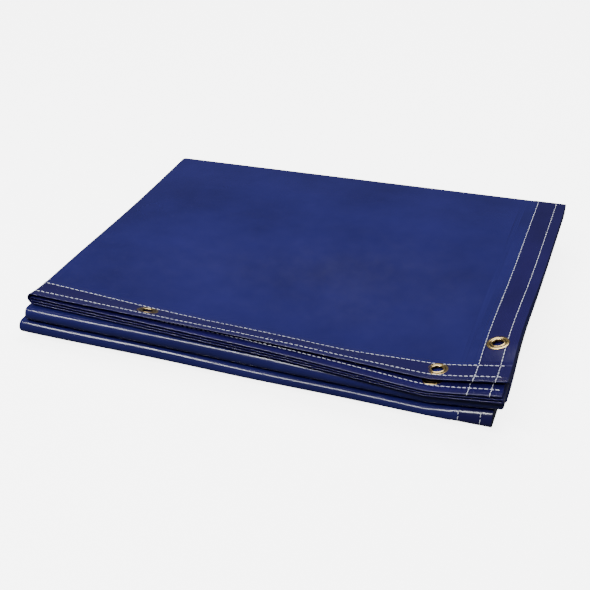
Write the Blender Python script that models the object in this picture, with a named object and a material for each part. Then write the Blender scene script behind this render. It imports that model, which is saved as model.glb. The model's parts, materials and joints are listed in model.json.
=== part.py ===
"""Welding curtain, folded flat for storage.

A square vinyl-laminated curtain with a hem all round, brass grommets along its top and its two
sides, and two rows of stitching in each hem. It is folded side to side into a ribbon of four
plies, then front to back into five leaves, with the last leaf tucked inside the lowest fold.
Metres, +Z up, +X along the front edge, origin under the middle of the folded stack.
"""
import math

import bmesh
import bpy
from mathutils import Matrix, Vector

MM = 0.001
GAP = 0.3 * MM

# The stack: one ply of the ribbon is a quarter of the curtain's width.
PANEL = 457.2 * MM
DEPTH = 366.0 * MM
HEM = 40.0 * MM
HEM_STEP = 0.5 * MM
PLY_HALF = 0.3 * MM
HEM_HALF = 0.6 * MM

# Grommets: a turned eyelet through the hem, and a washer on the far side.
HOLE_R = 4.75 * MM
BARREL_R = 5.6 * MM
CUT_R = 5.95 * MM
FLANGE_R = 10.3 * MM
WASHER_R = 9.9 * MM
PLATE = 0.55 * MM
GROMMET_HALF = HEM_HALF + GAP + PLATE
GROMMET_INSET = 20.5 * MM
CORNER_INSET = 62.4 * MM
HOLE_DEPTH = 2.0 * MM
CLEAR_OF_C = 0.8 * MM
ROUND_STEPS = 12

# Heights of the four plies above a leaf's own D side. A carries the outer side hem.
LEAF_LEVELS = {"D": 0.3 * MM, "C": 1.2 * MM, "B": 3.25 * MM, "A": 6.45 * MM}
TOP_LEVELS = {"D": 1.45 * MM, "C": 4.7 * MM, "B": 7.95 * MM, "A": 11.2 * MM}
END_LEVELS = {"D": 0.6 * MM, "C": 2.1 * MM, "B": 3.9 * MM, "A": 6.3 * MM}
LEAF_THICK = LEAF_LEVELS["A"] + GROMMET_HALF
LEAF_PITCH = LEAF_THICK + 0.35 * MM
TOP_THICK = TOP_LEVELS["A"] + GROMMET_HALF

# The lowest ply lies flat on the table, level with its grommet's flange; its side hem sits higher.
BASE_LEVELS = {**LEAF_LEVELS, "flat": LEAF_THICK - PLY_HALF}
BASE_RAMP = 3.0 * MM

# Each leaf's sideways place, and the height of its D side. Sign +1 is a leaf with ply A up.
SHIFT = {1: 0.0, 2: -1.5 * MM, 3: -4.0 * MM, 4: -9.0 * MM, 5: -9.0 * MM}
SIGN = {1: 1, 2: -1, 3: 1, 4: -1, 5: 1}
BASE = {
    4: LEAF_THICK,
    5: LEAF_PITCH,
    3: 2 * LEAF_PITCH,
    2: 3 * LEAF_PITCH + LEAF_THICK,
    1: 4 * LEAF_PITCH,
}

# The top leaf's front edge: the plies under A creep forward towards the right, and B sits further out.
TOP_FRONT = 9.0 * MM
CREEP = 13.0 * MM
B_RIGHT = 3.0 * MM
FRONT_LIMIT = TOP_FRONT - CREEP

# Where the flat part of a leaf meets its folds.
MIDDLE_FRONT = 1.0 * MM
UPPER_BACK_INSET = 1.0 * MM
FOLD_STEPS = 6
TUCK_ROOM = 3.0 * MM

# Stitch rows, measured in from a hem's edge, and the thread.
ROW_OUTER = 9.2 * MM
ROW_INNER = 31.8 * MM
THREAD = 0.5 * MM
ROW_FIRST_X = 8.0 * MM
ROW_END_INSET = 2.0 * MM
ROW_CLEAR = 1.0 * MM

# Grommets: along the top hem by ply and distance from the stack's left edge.
TOP_GROMMETS = [
    ("A", PANEL - 64.5 * MM),
    ("A", PANEL - 344.3 * MM),
    ("D", 168.0 * MM),
    ("D", PANEL - 14.0 * MM),
    ("C", 168.0 * MM),
    ("B", 121.5 * MM),
    ("B", 391.0 * MM),
]
SIDE_SPACING = 425.45 * MM

# Motion: how far each hinge line stands beyond the flat part of the leaves it joins.
FRONT_HINGE_Y = -3.5 * MM
BACK_HINGE_REACH = 12.3 * MM

# Frame: the middle of the folded stack.
CENTRE_X = (SHIFT[4] + PANEL + B_RIGHT) / 2
CENTRE_Y = (FRONT_LIMIT + DEPTH) / 2

COLOURS = {
    "curtain": ((0.022, 0.033, 0.165), 0.35, 0.0),
    "hem": ((0.018, 0.016, 0.117), 0.4, 0.0),
    "thread": ((0.61, 0.66, 0.83), 0.7, 0.0),
    "brass": ((0.58, 0.40, 0.13), 0.3, 1.0),
}


def clear_scene():
    for item in list(bpy.data.objects):
        bpy.data.objects.remove(item, do_unlink=True)


def make_collection(name):
    collection = bpy.data.collections.new(name)
    bpy.context.scene.collection.children.link(collection)
    return collection


def make_material(name, kind):
    colour, roughness, metallic = COLOURS[kind]
    material = bpy.data.materials.new(name)
    material.use_nodes = True
    shader = material.node_tree.nodes["Principled BSDF"]
    shader.inputs["Base Color"].default_value = (*colour, 1.0)
    shader.inputs["Roughness"].default_value = roughness
    shader.inputs["Metallic"].default_value = metallic
    material.diffuse_color = (*colour, 1.0)
    return material


def make_empty(name, design_point, parent=None):
    """An empty on a hinge line; its design-space point is kept for its children."""
    empty = bpy.data.objects.new(name, None)
    PARTS.objects.link(empty)
    empty["design_point"] = tuple(design_point)
    origin = Vector(parent["design_point"]) if parent else Vector((CENTRE_X, CENTRE_Y, 0.0))
    empty.parent = parent
    empty.location = Vector(design_point) - origin
    return empty


def add_node(name, mesh, kind, carrier, place=(0.0, 0.0, 0.0)):
    """Put a mesh made in design space into the scene as a child of its body's empty."""
    node = bpy.data.objects.new(name, mesh)
    PARTS.objects.link(node)
    node.parent = carrier
    node.location = Vector(place) - Vector(carrier["design_point"])
    if not mesh.materials:
        mesh.materials.append(make_material(name, kind))
    return node


def arc(centre_x, low, high, side, steps):
    """Inner points of a half circle that joins two plies; side is +1 right, -1 left."""
    radius = (high - low) / 2
    middle = (high + low) / 2
    angles = [math.pi * step / steps - math.pi / 2 for step in range(1, steps)]
    return [(centre_x + side * radius * math.cos(a), middle + radius * math.sin(a)) for a in angles]


def side_hem(edge, level, flat, half, ply):
    """A ply's end at the right: a thicker side hem, unless the whole ply is that thick."""
    if half == HEM_HALF:
        return [(edge, level, half, ply)]
    inner = edge - HEM
    step = HEM_STEP if flat == level else BASE_RAMP
    return [(edge, level, HEM_HALF, ply), (inner, level, HEM_HALF, ply), (inner - step, flat, half, ply)]


def centreline(levels, shift, b_extra, half):
    """The ribbon's middle line as (x, level, half thickness, ply), from B's hem round to A's."""
    right = shift + PANEL
    flat = levels.get("flat", levels["A"])
    outer_r = (flat - levels["D"]) / 2
    outer_x = shift + outer_r + HEM_HALF
    inner_x = outer_x + 2.5 * MM
    mid_r = (levels["C"] - levels["D"]) / 2
    right_x = right - mid_r - HEM_HALF
    line = side_hem(right + b_extra, levels["B"], levels["B"], half, "B")
    line.append((inner_x, levels["B"], half, "B"))
    turn = arc(inner_x, levels["C"], levels["B"], -1, 5)
    line += [(x, z, half, "B") for x, z in reversed(turn)]
    line.append((inner_x, levels["C"], half, "C"))
    line.append((right_x, levels["C"], half, "C"))
    turn = arc(right_x, levels["D"], levels["C"], 1, 5)
    line += [(x, z, half, "C") for x, z in reversed(turn)]
    line.append((right_x, levels["D"], half, "D"))
    line.append((outer_x, levels["D"], half, "D"))
    line += [(x, z, half, "D") for x, z in arc(outer_x, levels["D"], flat, -1, 7)]
    line.append((outer_x, flat, half, "A"))
    line += reversed(side_hem(right, levels["A"], flat, half, "A"))
    return line


def outline(levels, shift, b_extra=0.0, half=PLY_HALF):
    """The ribbon's closed outline: the middle line offset to both of its sides."""
    line = centreline(levels, shift, b_extra, half)
    sides = ([], [])
    last = len(line) - 1
    for index, (x, level, reach, ply) in enumerate(line):
        before = line[max(index - 1, 0)]
        after = line[min(index + 1, last)]
        along = Vector((after[0] - before[0], after[1] - before[1])).normalized()
        across = Vector((-along.y, along.x)) * reach
        sides[0].append((x + across.x, level + across.y, ply))
        sides[1].append((x - across.x, level - across.y, ply))
    return sides[0] + sides[1][::-1]


def close_end(shape, ring):
    """Cover a ribbon's end with a strip of faces across its thickness."""
    last = len(ring) - 1
    for index in range(len(ring) // 2 - 1):
        shape.faces.new((ring[index], ring[index + 1], ring[last - index - 1], ring[last - index]))


def loft(name, sections):
    """A closed solid through matching ribbon sections."""
    shape = bmesh.new()
    rings = [[shape.verts.new(point) for point in section] for section in sections]
    count = len(sections[0])
    for lower, upper in zip(rings, rings[1:]):
        for index in range(count):
            following = (index + 1) % count
            shape.faces.new((lower[index], lower[following], upper[following], upper[index]))
    close_end(shape, rings[0])
    close_end(shape, rings[-1])
    bmesh.ops.recalc_face_normals(shape, faces=shape.faces[:])
    mesh = bpy.data.meshes.new(name)
    shape.to_mesh(mesh)
    shape.free()
    return mesh


def leaf_height(leaf, level):
    return BASE[leaf] + SIGN[leaf] * level


def flat_section(leaf, shape, front_or_back):
    """A leaf's outline at one end; front_or_back gives y from a point's x and ply."""
    return [(x, front_or_back(x, ply), leaf_height(leaf, level)) for x, level, ply in shape]


def creep(x, ply):
    return 0.0 if ply == "A" else -CREEP * x / PANEL


def straight(y):
    return lambda x, ply: y


def crept(y):
    return lambda x, ply: y + creep(x, ply)


def fold_radius(lower, upper, level_low, level_high):
    return (leaf_height(upper, level_high) - leaf_height(lower, level_low)) / 2


def fold_sections(lower, upper, shapes, start, side):
    """Sections of a half-turn fold from the lower leaf up to the upper one; side -1 is the front."""
    sections = []
    for step in range(FOLD_STEPS + 1):
        turn = math.pi * step / FOLD_STEPS
        blend = step / FOLD_STEPS
        section = []
        for low, high in zip(shapes[lower], shapes[upper]):
            bottom = leaf_height(lower, low[1])
            top = leaf_height(upper, high[1])
            radius = (top - bottom) / 2
            x = low[0] + (high[0] - low[0]) * blend
            y = start + side * radius * math.sin(turn)
            section.append((x, y, (top + bottom) / 2 - radius * math.cos(turn)))
        sections.append(section)
    return sections


def turned(name, profile):
    """A round piece: a closed profile of (radius, height) points turned about the Z axis."""
    shape = bmesh.new()
    points = [shape.verts.new((radius, 0.0, height)) for radius, height in profile]
    edges = [shape.edges.new(pair) for pair in zip(points, points[1:] + points[:1])]
    bmesh.ops.spin(shape, geom=points + edges, axis=(0, 0, 1), cent=(0, 0, 0),
                   angle=2 * math.pi, steps=ROUND_STEPS, use_merge=True)
    bmesh.ops.remove_doubles(shape, verts=shape.verts[:], dist=0.01 * MM)
    bmesh.ops.recalc_face_normals(shape, faces=shape.faces[:])
    mesh = bpy.data.meshes.new(name)
    shape.to_mesh(mesh)
    shape.free()
    mesh.shade_smooth()
    mesh.set_sharp_from_angle(angle=math.radians(40))
    return mesh


def eyelet_mesh():
    top = GROMMET_HALF
    profile = [
        (HOLE_R, -top),
        (HOLE_R, top - 0.3 * MM),
        (HOLE_R + 0.6 * MM, top),
        (FLANGE_R - 1.2 * MM, top),
        (FLANGE_R, top - 0.35 * MM),
        (FLANGE_R, top - PLATE),
        (BARREL_R, top - PLATE),
        (BARREL_R, -top),
    ]
    mesh = turned("eyelet", profile)
    mesh.materials.append(make_material("eyelet_brass", "brass"))
    return mesh


def washer_mesh():
    low = -GROMMET_HALF
    inner = BARREL_R + GAP
    profile = [(inner, low), (inner, low + PLATE), (WASHER_R, low + PLATE), (WASHER_R, low)]
    mesh = turned("washer", profile)
    mesh.materials.append(make_material("washer_brass", "brass"))
    return mesh


def add_grommet(label, leaf, ply_level, x, y, carrier):
    """An eyelet with its flange on ply A's side of the hem, and its washer beneath."""
    height = leaf_height(leaf, ply_level)
    for kind, mesh in (("eyelet", EYELET), ("washer", WASHER)):
        node = add_node(f"{label}_{kind}", mesh, "brass", carrier, (x, y, height))
        node.rotation_euler.x = 0.0 if SIGN[leaf] > 0 else math.pi


def cut_holes(node, holes):
    """Cut round holes, each (x, y, low, high) in design space, with one cutter."""
    shape = bmesh.new()
    for x, y, low, high in holes:
        place = Matrix.Translation((x, y, (low + high) / 2))
        bmesh.ops.create_cone(shape, cap_ends=True, segments=ROUND_STEPS, radius1=CUT_R,
                              radius2=CUT_R, depth=high - low, matrix=place)
    mesh = bpy.data.meshes.new(f"cut_{node.name}")
    shape.to_mesh(mesh)
    shape.free()
    cutter = bpy.data.objects.new(f"cut_{node.name}", mesh)
    CUTTERS.objects.link(cutter)
    cutter.parent = node.parent
    cutter.location = node.location
    cutter.hide_render = True
    cutter.display_type = "WIRE"
    hole = node.modifiers.new("grommet_holes", "BOOLEAN")
    hole.operation = "DIFFERENCE"
    hole.solver = "EXACT"
    hole.object = cutter


def strip_mesh(name, low, high):
    """A straight run of thread between two corners."""
    shape = bmesh.new()
    size = Vector(high) - Vector(low)
    middle = (Vector(high) + Vector(low)) / 2
    place = Matrix.Translation(middle) @ Matrix.Diagonal((*size, 1.0))
    bmesh.ops.create_cube(shape, size=1.0, matrix=place)
    mesh = bpy.data.meshes.new(name)
    shape.to_mesh(mesh)
    shape.free()
    return mesh


def add_leaf(name, leaf, shape, front, back, carrier, kind="curtain"):
    sections = [flat_section(leaf, shape, front), flat_section(leaf, shape, back)]
    return add_node(name, loft(name, sections), kind, carrier)


def add_fold(name, lower, upper, shapes, start, side, carrier):
    gap = -side * GAP
    sections = fold_sections(lower, upper, shapes, start - gap, side)
    return add_node(name, loft(name, sections), "curtain", carrier)


def side_hole(leaf, x, y):
    """One hole through the side hems of plies A and B."""
    low = leaf_height(leaf, LEAF_LEVELS["C"] + CLEAR_OF_C)
    high = leaf_height(leaf, LEAF_LEVELS["A"] + HOLE_DEPTH)
    return (x, y, min(low, high), max(low, high))


def side_grommet_y():
    """Where each leaf's side grommets lie, from the curtain's length measured leaf by leaf."""
    places = {}
    for index, leaf in enumerate((1, 2, 3, 4, 5)):
        along = CORNER_INSET + index * SIDE_SPACING - index * DEPTH
        places[leaf] = TOP_FRONT + along if SIGN[leaf] > 0 else DEPTH - along
    places[5] = TUCK_END - CORNER_INSET
    return places


def add_side_grommets(leaf, node, carrier):
    """The pair of side grommets that a lower leaf carries, one on each outer ply."""
    x = SHIFT[leaf] + PANEL - GROMMET_INSET
    y = SIDE_Y[leaf]
    cut_holes(node, [side_hole(leaf, x, y)])
    add_grommet(f"right_side_{leaf}", leaf, LEAF_LEVELS["A"], x, y, carrier)
    add_grommet(f"left_side_{leaf}", leaf, LEAF_LEVELS["B"], x, y, carrier)


def add_top_side_grommets(node, carrier):
    """The top leaf's side grommets: ply B's has crept forward with its ply."""
    x = PANEL - GROMMET_INSET
    y = SIDE_Y[1]
    holes = []
    for side, ply, out, creeping in (("right", "A", 0.0, 0.0), ("left", "B", B_RIGHT, CREEP)):
        level = TOP_LEVELS[ply]
        centre_y = y - creeping * (1 - y / DEPTH)
        height = leaf_height(1, level)
        holes.append((x + out, centre_y, height - GROMMET_HALF, height + GROMMET_HALF))
        add_grommet(f"{side}_side_1", 1, level, x + out, centre_y, carrier)
    cut_holes(node, holes)


def add_top_hem_grommets(node, carrier):
    holes = []
    for number, (ply, x) in enumerate(TOP_GROMMETS, start=1):
        y = TOP_FRONT + GROMMET_INSET + creep(x, ply)
        level = TOP_LEVELS[ply]
        height = leaf_height(1, level)
        holes.append((x, y, height - GROMMET_HALF, height + GROMMET_HALF))
        add_grommet(f"top_hem_{number}", 1, level, x, y, carrier)
    cut_holes(node, holes)


def add_thread_rows(carrier):
    """The four visible rows of lockstitch on the top leaf's front and right hems."""
    base = leaf_height(1, TOP_LEVELS["A"] + HEM_HALF + GAP)
    top = base + THREAD
    half = THREAD / 2
    for label, row in (("outer", ROW_OUTER), ("inner", ROW_INNER)):
        y = TOP_FRONT + row
        name = f"top_hem_thread_{label}"
        mesh = strip_mesh(name, (ROW_FIRST_X, y - half, base), (PANEL - ROW_END_INSET, y + half, top))
        add_node(name, mesh, "thread", carrier)
        x = PANEL - row
        name = f"side_hem_thread_{label}"
        first = TOP_FRONT + HEM + ROW_CLEAR
        mesh = strip_mesh(name, (x - half, first, base), (x + half, UPPER_BACK - ROW_CLEAR, top))
        add_node(name, mesh, "thread", carrier)


def hem_top(levels):
    return levels["A"] + HEM_HALF


clear_scene()
PARTS = make_collection("welding_curtain")
CUTTERS = make_collection("cutters")

SHAPES = {leaf: outline(LEAF_LEVELS, SHIFT[leaf]) for leaf in (2, 3, 5)}
SHAPES[4] = outline(BASE_LEVELS, SHIFT[4])
SHAPES[1] = outline(TOP_LEVELS, SHIFT[1])
TOP_SHAPE = outline(TOP_LEVELS, SHIFT[1], B_RIGHT)
TOP_HEM_SHAPE = outline(TOP_LEVELS, SHIFT[1], B_RIGHT, HEM_HALF)
END_HEM_SHAPE = outline(END_LEVELS, SHIFT[5], 0.0, HEM_HALF)

# Flat stretches end where their folds begin: at the fold's outer radius from its crest.
LOWER_FRONT = fold_radius(4, 5, LEAF_THICK, hem_top(LEAF_LEVELS))
MIDDLE_START = MIDDLE_FRONT + fold_radius(3, 2, 0.0, 0.0)
LOWER_BACK = DEPTH - fold_radius(4, 3, LEAF_THICK, hem_top(LEAF_LEVELS))
UPPER_BACK = DEPTH - UPPER_BACK_INSET - fold_radius(2, 1, hem_top(LEAF_LEVELS), hem_top(TOP_LEVELS))
TUCK_END = LOWER_BACK - TUCK_ROOM
SIDE_Y = side_grommet_y()

# Bodies: an empty on each hinge line, from the bottom of the stack to its top.
BOTTOM = make_empty("bottom_leaves_body", (CENTRE_X, CENTRE_Y, 0.0))
LOWER_HINGE = (0.0, LOWER_BACK + BACK_HINGE_REACH, (BASE[4] + BASE[3]) / 2)
THIRD = make_empty("lower_back_hinge", LOWER_HINGE, BOTTOM)
MIDDLE_HINGE = (0.0, FRONT_HINGE_Y, (BASE[3] + BASE[2]) / 2)
SECOND = make_empty("middle_front_hinge", MIDDLE_HINGE, THIRD)
UPPER_HINGE = (0.0, UPPER_BACK + BACK_HINGE_REACH, (3 * LEAF_PITCH + BASE[1] + TOP_THICK) / 2)
TOP = make_empty("upper_back_hinge", UPPER_HINGE, SECOND)

EYELET = eyelet_mesh()
WASHER = washer_mesh()

# The lowest pair of leaves: the bottom one, and the last one tucked in on top of it.
bottom_leaf = add_leaf("leaf_4_bottom", 4, SHAPES[4], straight(LOWER_FRONT), straight(LOWER_BACK), BOTTOM)
add_side_grommets(4, bottom_leaf, BOTTOM)
tucked_end = straight(TUCK_END - HEM - GAP)
tucked_leaf = add_leaf("leaf_5_tucked", 5, SHAPES[5], straight(LOWER_FRONT), tucked_end, BOTTOM)
add_side_grommets(5, tucked_leaf, BOTTOM)
add_leaf("bottom_hem", 5, END_HEM_SHAPE, straight(TUCK_END - HEM), straight(TUCK_END), BOTTOM, "hem")
add_fold("front_fold_lower", 4, 5, SHAPES, LOWER_FRONT, -1, BOTTOM)
add_fold("back_fold_lower", 4, 3, SHAPES, LOWER_BACK, 1, BOTTOM)

# The third and second leaves, joined by the middle front fold.
third_leaf = add_leaf("leaf_3", 3, SHAPES[3], straight(MIDDLE_START), straight(LOWER_BACK), THIRD)
add_side_grommets(3, third_leaf, THIRD)
add_fold("front_fold_middle", 3, 2, SHAPES, MIDDLE_START, -1, THIRD)
second_leaf = add_leaf("leaf_2", 2, SHAPES[2], straight(MIDDLE_START), straight(UPPER_BACK), SECOND)
add_side_grommets(2, second_leaf, SECOND)
add_fold("back_fold_upper", 2, 1, SHAPES, UPPER_BACK, 1, SECOND)

# The top leaf, with the curtain's top hem along its front edge.
hem_back = crept(TOP_FRONT + HEM)
leaf_front = crept(TOP_FRONT + HEM + GAP)
top_leaf = add_leaf("leaf_1_top", 1, TOP_SHAPE, leaf_front, straight(UPPER_BACK), TOP)
add_top_side_grommets(top_leaf, TOP)
top_hem = add_leaf("top_hem", 1, TOP_HEM_SHAPE, crept(TOP_FRONT), hem_back, TOP, "hem")
add_top_hem_grommets(top_hem, TOP)
add_thread_rows(TOP)
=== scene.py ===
"""Looks for the folded welding curtain: laminated cloth, hems, rows of stitching and brass grommets.

The cloth is lofted in an even stack, in millimetres, with X along the front edge and Y towards the
back folds. settle() then gives every point the slack and sag of the real pile, and the result goes
into the frame in metres. Each piece stands for the CAD node of the same place.
"""

import json
import math

import bmesh
import bpy
import numpy as np
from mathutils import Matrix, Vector
from mathutils.bvhtree import BVHTree
from mathutils.interpolate import poly_3d_calc


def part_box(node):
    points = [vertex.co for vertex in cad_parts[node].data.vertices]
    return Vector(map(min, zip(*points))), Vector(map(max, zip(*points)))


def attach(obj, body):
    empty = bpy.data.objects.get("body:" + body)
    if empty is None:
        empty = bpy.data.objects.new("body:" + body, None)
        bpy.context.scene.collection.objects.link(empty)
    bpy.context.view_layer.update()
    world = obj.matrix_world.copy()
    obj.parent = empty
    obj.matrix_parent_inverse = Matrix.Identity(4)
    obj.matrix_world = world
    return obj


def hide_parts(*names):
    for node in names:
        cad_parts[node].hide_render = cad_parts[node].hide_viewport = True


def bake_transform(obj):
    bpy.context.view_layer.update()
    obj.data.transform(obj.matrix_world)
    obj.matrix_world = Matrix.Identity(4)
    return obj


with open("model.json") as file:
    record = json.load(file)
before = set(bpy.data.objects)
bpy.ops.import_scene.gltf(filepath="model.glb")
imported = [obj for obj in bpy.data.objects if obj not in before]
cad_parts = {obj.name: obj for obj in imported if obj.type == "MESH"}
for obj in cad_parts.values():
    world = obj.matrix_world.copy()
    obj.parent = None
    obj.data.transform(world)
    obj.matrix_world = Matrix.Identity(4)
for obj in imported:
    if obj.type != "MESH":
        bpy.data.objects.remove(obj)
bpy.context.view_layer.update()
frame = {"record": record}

# Driving sizes of the stack, in millimetres, as the CAD part has them.
PANEL = 457.2
DEPTH = 366.0
LEAF_LEVELS = {"D": 0.3, "C": 1.2, "B": 3.25, "A": 6.45}
TOP_LEVELS = {"D": 1.45, "C": 4.7, "B": 7.95, "A": 11.2}
END_LEVELS = {"D": 0.6, "C": 2.1, "B": 3.9, "A": 6.3}
LEAF_THICK = 7.9
LEAF_PITCH = 8.25
BASE_FLAT = LEAF_THICK - 0.28
SHIFT = {1: 0.0, 2: -1.5, 3: -4.0, 4: -9.0, 5: -9.0}
SIGN = {1: 1, 2: -1, 3: 1, 4: -1, 5: 1}
BASE = {4: 7.9, 5: 8.25, 3: 16.5, 2: 32.65, 1: 33.0}
TOP_FRONT = 9.0
CREEP = 15.5
CAD_CREEP = 13.0
B_OUT = -2.0
CAD_B_OUT = 3.0
CENTRE = ((SHIFT[4] + PANEL + CAD_B_OUT) / 2, (TOP_FRONT - CAD_CREEP + DEPTH) / 2)

# Where folds begin.
LOWER_FRONT = 7.65
MIDDLE_FRONT = 9.075
LOWER_BACK = 354.225
UPPER_BACK = 355.4
TUCK_END = 351.225

# Cloth: half a ply, what a hem adds over and under it, and the rounding of a folded edge.
PLY = 0.25
HEM_OVER = 0.35
HEM_UNDER = 0.65
EDGE_ROUND = 0.75
CORNER_EXTRA = 0.22
ROW_OUTER = 10.2
ROW_INNER = 29.4
HEM_EDGE = 33.4
PUCKER = 0.17

# Stitches and grommets.
PITCH = 4.7
DASH = 4.0
THREAD_R = 0.29
CUT_R = 5.05

# The pile as it has settled: heights, at the left end, on the knee line and at the right end, of the
# levels where its leaves and folds part. The knee line is where the side hem's thickness starts.
KNEE_X = 390.0
CAD_MIDDLE = 24.575
STACK_LEVELS = (0.0, 8.1, 16.35, CAD_MIDDLE, 32.8, 44.8)
FRONT_LEFT = (0.0, 6.3, 15.0, 21.5, 29.3, 42.0)
FRONT_KNEE = (0.0, 4.8, 12.0, 18.9, 23.8, 33.0)
FRONT_RIGHT = (0.0, 8.0, 21.0, 27.0, 33.0, 46.2)
BACK_LEFT = 0.80
BACK_RISE = 0.29


# How the top levels leave those straight stretches: rounded at the knee, and arched to its left.
TOP_LEAF_THICK = 12.0
KNEE_BEND = 0.04
TOP_KNEE_BEND = 1.3
MIDDLE_ARCH = 2.2
TOP_ARCH = 1.0
ARCH_SKEW = 1.5

# The top sheet's sag behind its hem: at the side, in the middle, and how far back it reaches. It fades
# downwards through the pile by the power SAG_FADE of each level's weight.
SIDE_SAG = 1.8
MIDDLE_SAG = 8.2
SAG_SCALE = 1.15
SAG_REACH = 22.0
SAG_POWER = 1.8
SAG_FADE = 1.9

# Soft waves: over the top, and along the front edge.
TOP_WAVE = 0.75
TOP_WAVE_SIZE = 150.0
EDGE_WAVE = 0.5
EDGE_WAVE_SIZE = 170.0

# What lies off the even stack: the left ends bulge, the middle fold slides out at the right, and the side
# hem bows in behind the front and stands a little higher there.
LEFT_BULGE = 4.8
MIDDLE_BULGE_LOSS = 1.8
MIDDLE_FOLD_REACH = 6.0
MIDDLE_SLIDE = 2.5
SIDE_BOW = 2.5
SIDE_BOW_Y = 95.0
SIDE_BOW_REACH = 75.0
SIDE_RISE = 3.6


def smooth(t):
    t = np.clip(t, 0.0, 1.0)
    return t * t * (3 - 2 * t)


def rise(value, start, length):
    """0 before the start, and 1 from a length past it."""
    return smooth((value - start) / length)


def fall(value, end, length):
    """0 past the end, and 1 until a length before it."""
    return smooth((end - value) / length)


# ---------------------------------------------------------------- how the pile settles

def ripple(x, y, size, seed):
    """A soft random surface between about -1 and 1, with waves about that size."""
    total = 0.0
    for turn in range(4):
        angle = seed + 1.37 * turn
        phase = 2.1 * seed + 1.9 * turn
        along = (x * math.cos(angle) + y * math.sin(angle)) / (size * (0.7 + 0.23 * turn))
        total = total + np.sin(2 * math.pi * along + phase)
    return total / 2.6


def through(heights, z):
    """Height for a level of the even stack, in straight stretches between the stack's levels."""
    total = heights[0] + 0 * z
    last = len(STACK_LEVELS) - 2
    for i in range(last + 1):
        share = (z - STACK_LEVELS[i]) / (STACK_LEVELS[i + 1] - STACK_LEVELS[i])
        share = np.clip(share, 0, None if i == last else 1)
        total = total + share * (heights[i + 1] - heights[i])
    return total


def front_height(x, z):
    """The pile's front edge: it slopes down from the left to the knee line, then climbs the side hem."""
    knee = through(FRONT_KNEE, z)
    left = knee + (through(FRONT_LEFT, z) - knee) * (KNEE_X - x) / KNEE_X
    right = knee + (through(FRONT_RIGHT, z) - knee) * (x - KNEE_X) / (PANEL - KNEE_X)
    top = np.clip((z - STACK_LEVELS[4]) / TOP_LEAF_THICK, 0, 1)
    bend = KNEE_BEND + TOP_KNEE_BEND * top
    above_middle = np.clip((z - CAD_MIDDLE) / (STACK_LEVELS[4] - CAD_MIDDLE), 0, 1)
    lifted = MIDDLE_ARCH * above_middle + TOP_ARCH * top
    arch = lifted * np.sin(math.pi * np.clip(x / KNEE_X, 0, 1) ** ARCH_SKEW)
    return 0.5 * (left + right) + np.sqrt((0.5 * (left - right)) ** 2 + bend ** 2) - 0.5 * bend + arch


def sag(x, distance):
    """How far the top sheet falls away behind its raised front hem."""
    deep = rise(x, -60, 250) * fall(x, 400, 110)
    fallen = 1 - np.exp(-(np.clip(distance, 0, None) / SAG_REACH) ** SAG_POWER)
    return (SIDE_SAG + MIDDLE_SAG * deep) * SAG_SCALE * fallen


def settle(points):
    """Design millimetres to settled millimetres, for an array of points."""
    points = np.asarray(points, float)
    x, y, z = points[..., 0], points[..., 1], points[..., 2]
    weight = np.clip(z / STACK_LEVELS[-1], 0, None) ** 1.5
    front = front_height(x, z) - sag(x, y - TOP_FRONT) * weight ** SAG_FADE
    back = z * (BACK_LEFT + BACK_RISE * x / PANEL)
    share = rise(y, 60, 250)
    height = front + (back - front) * share
    inside = rise(x, 15, 60) * fall(x, 425, 60) * rise(y, 70, 70) * fall(y, 340, 50)
    height = height + TOP_WAVE * weight * inside * ripple(x, y, TOP_WAVE_SIZE, 0.6)
    height = height + SIDE_RISE * weight * rise(x, 395, 50) * rise(y, 35, 40) * (1 - share)
    y_new = y + EDGE_WAVE * fall(y, 10, 9) * ripple(x, 3 * z, EDGE_WAVE_SIZE, 2.2)
    middle = np.exp(-((z - CAD_MIDDLE) / MIDDLE_FOLD_REACH) ** 2)
    bulge = (LEFT_BULGE - MIDDLE_BULGE_LOSS * middle) * fall(x, 60, 60) * (1 - rise(y, 20, 230))
    slide = MIDDLE_SLIDE * middle * rise(x, 330, 120) * (1 - rise(y, 20, 120))
    bow = SIDE_BOW * weight * rise(x, 370, 75) * np.exp(-((y - SIDE_BOW_Y) / SIDE_BOW_REACH) ** 2)
    return np.stack([x - bulge + slide - bow, y_new, height], axis=-1)


def to_world(points):
    points = np.asarray(points, float)
    offset = np.array([CENTRE[0], CENTRE[1], 0.0])
    return (points - offset) * 0.001


# ---------------------------------------------------------------- the ribbon of four plies

def right_stations():
    """Distances in from a ply's right end, close together at its edge, its rows and its hem's edge."""
    edge = [0.0, 0.06, 0.2, 0.45, 0.8, 1.6, 3.5, 6.0]
    rows = [row + step for row in (ROW_OUTER, ROW_INNER) for step in (-2.0, -1.0, -0.4, 0.0, 0.4, 1.0, 2.0)]
    inner = [14.0, 18.0, 22.0, 25.5, HEM_EDGE - 1.0, HEM_EDGE - 0.4, HEM_EDGE, HEM_EDGE + 0.5]
    return sorted(edge + rows + inner + [HEM_EDGE + 1.2, HEM_EDGE + 3.0, HEM_EDGE + 7.0])


RIGHT = np.array(right_stations())
TOP_STEPS = 52
PLY_STEPS = 30
KNEE_STEPS = 4


def span(first, last, steps):
    """Places along a ply after its first, with one on the knee line between them."""
    before, after = (steps, KNEE_STEPS) if first < KNEE_X else (KNEE_STEPS, steps)
    near = np.linspace(first, KNEE_X, before + 1)[1:]
    far = np.linspace(KNEE_X, last, after + 1)[1:]
    return np.concatenate([near, far])


def arc_points(centre_x, low, high, side, steps):
    radius = (high - low) / 2
    middle = (high + low) / 2
    angles = np.linspace(-math.pi / 2, math.pi / 2, steps + 1)[1:-1]
    return [(centre_x + side * radius * math.cos(a), middle + radius * math.sin(a)) for a in angles]


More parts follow.
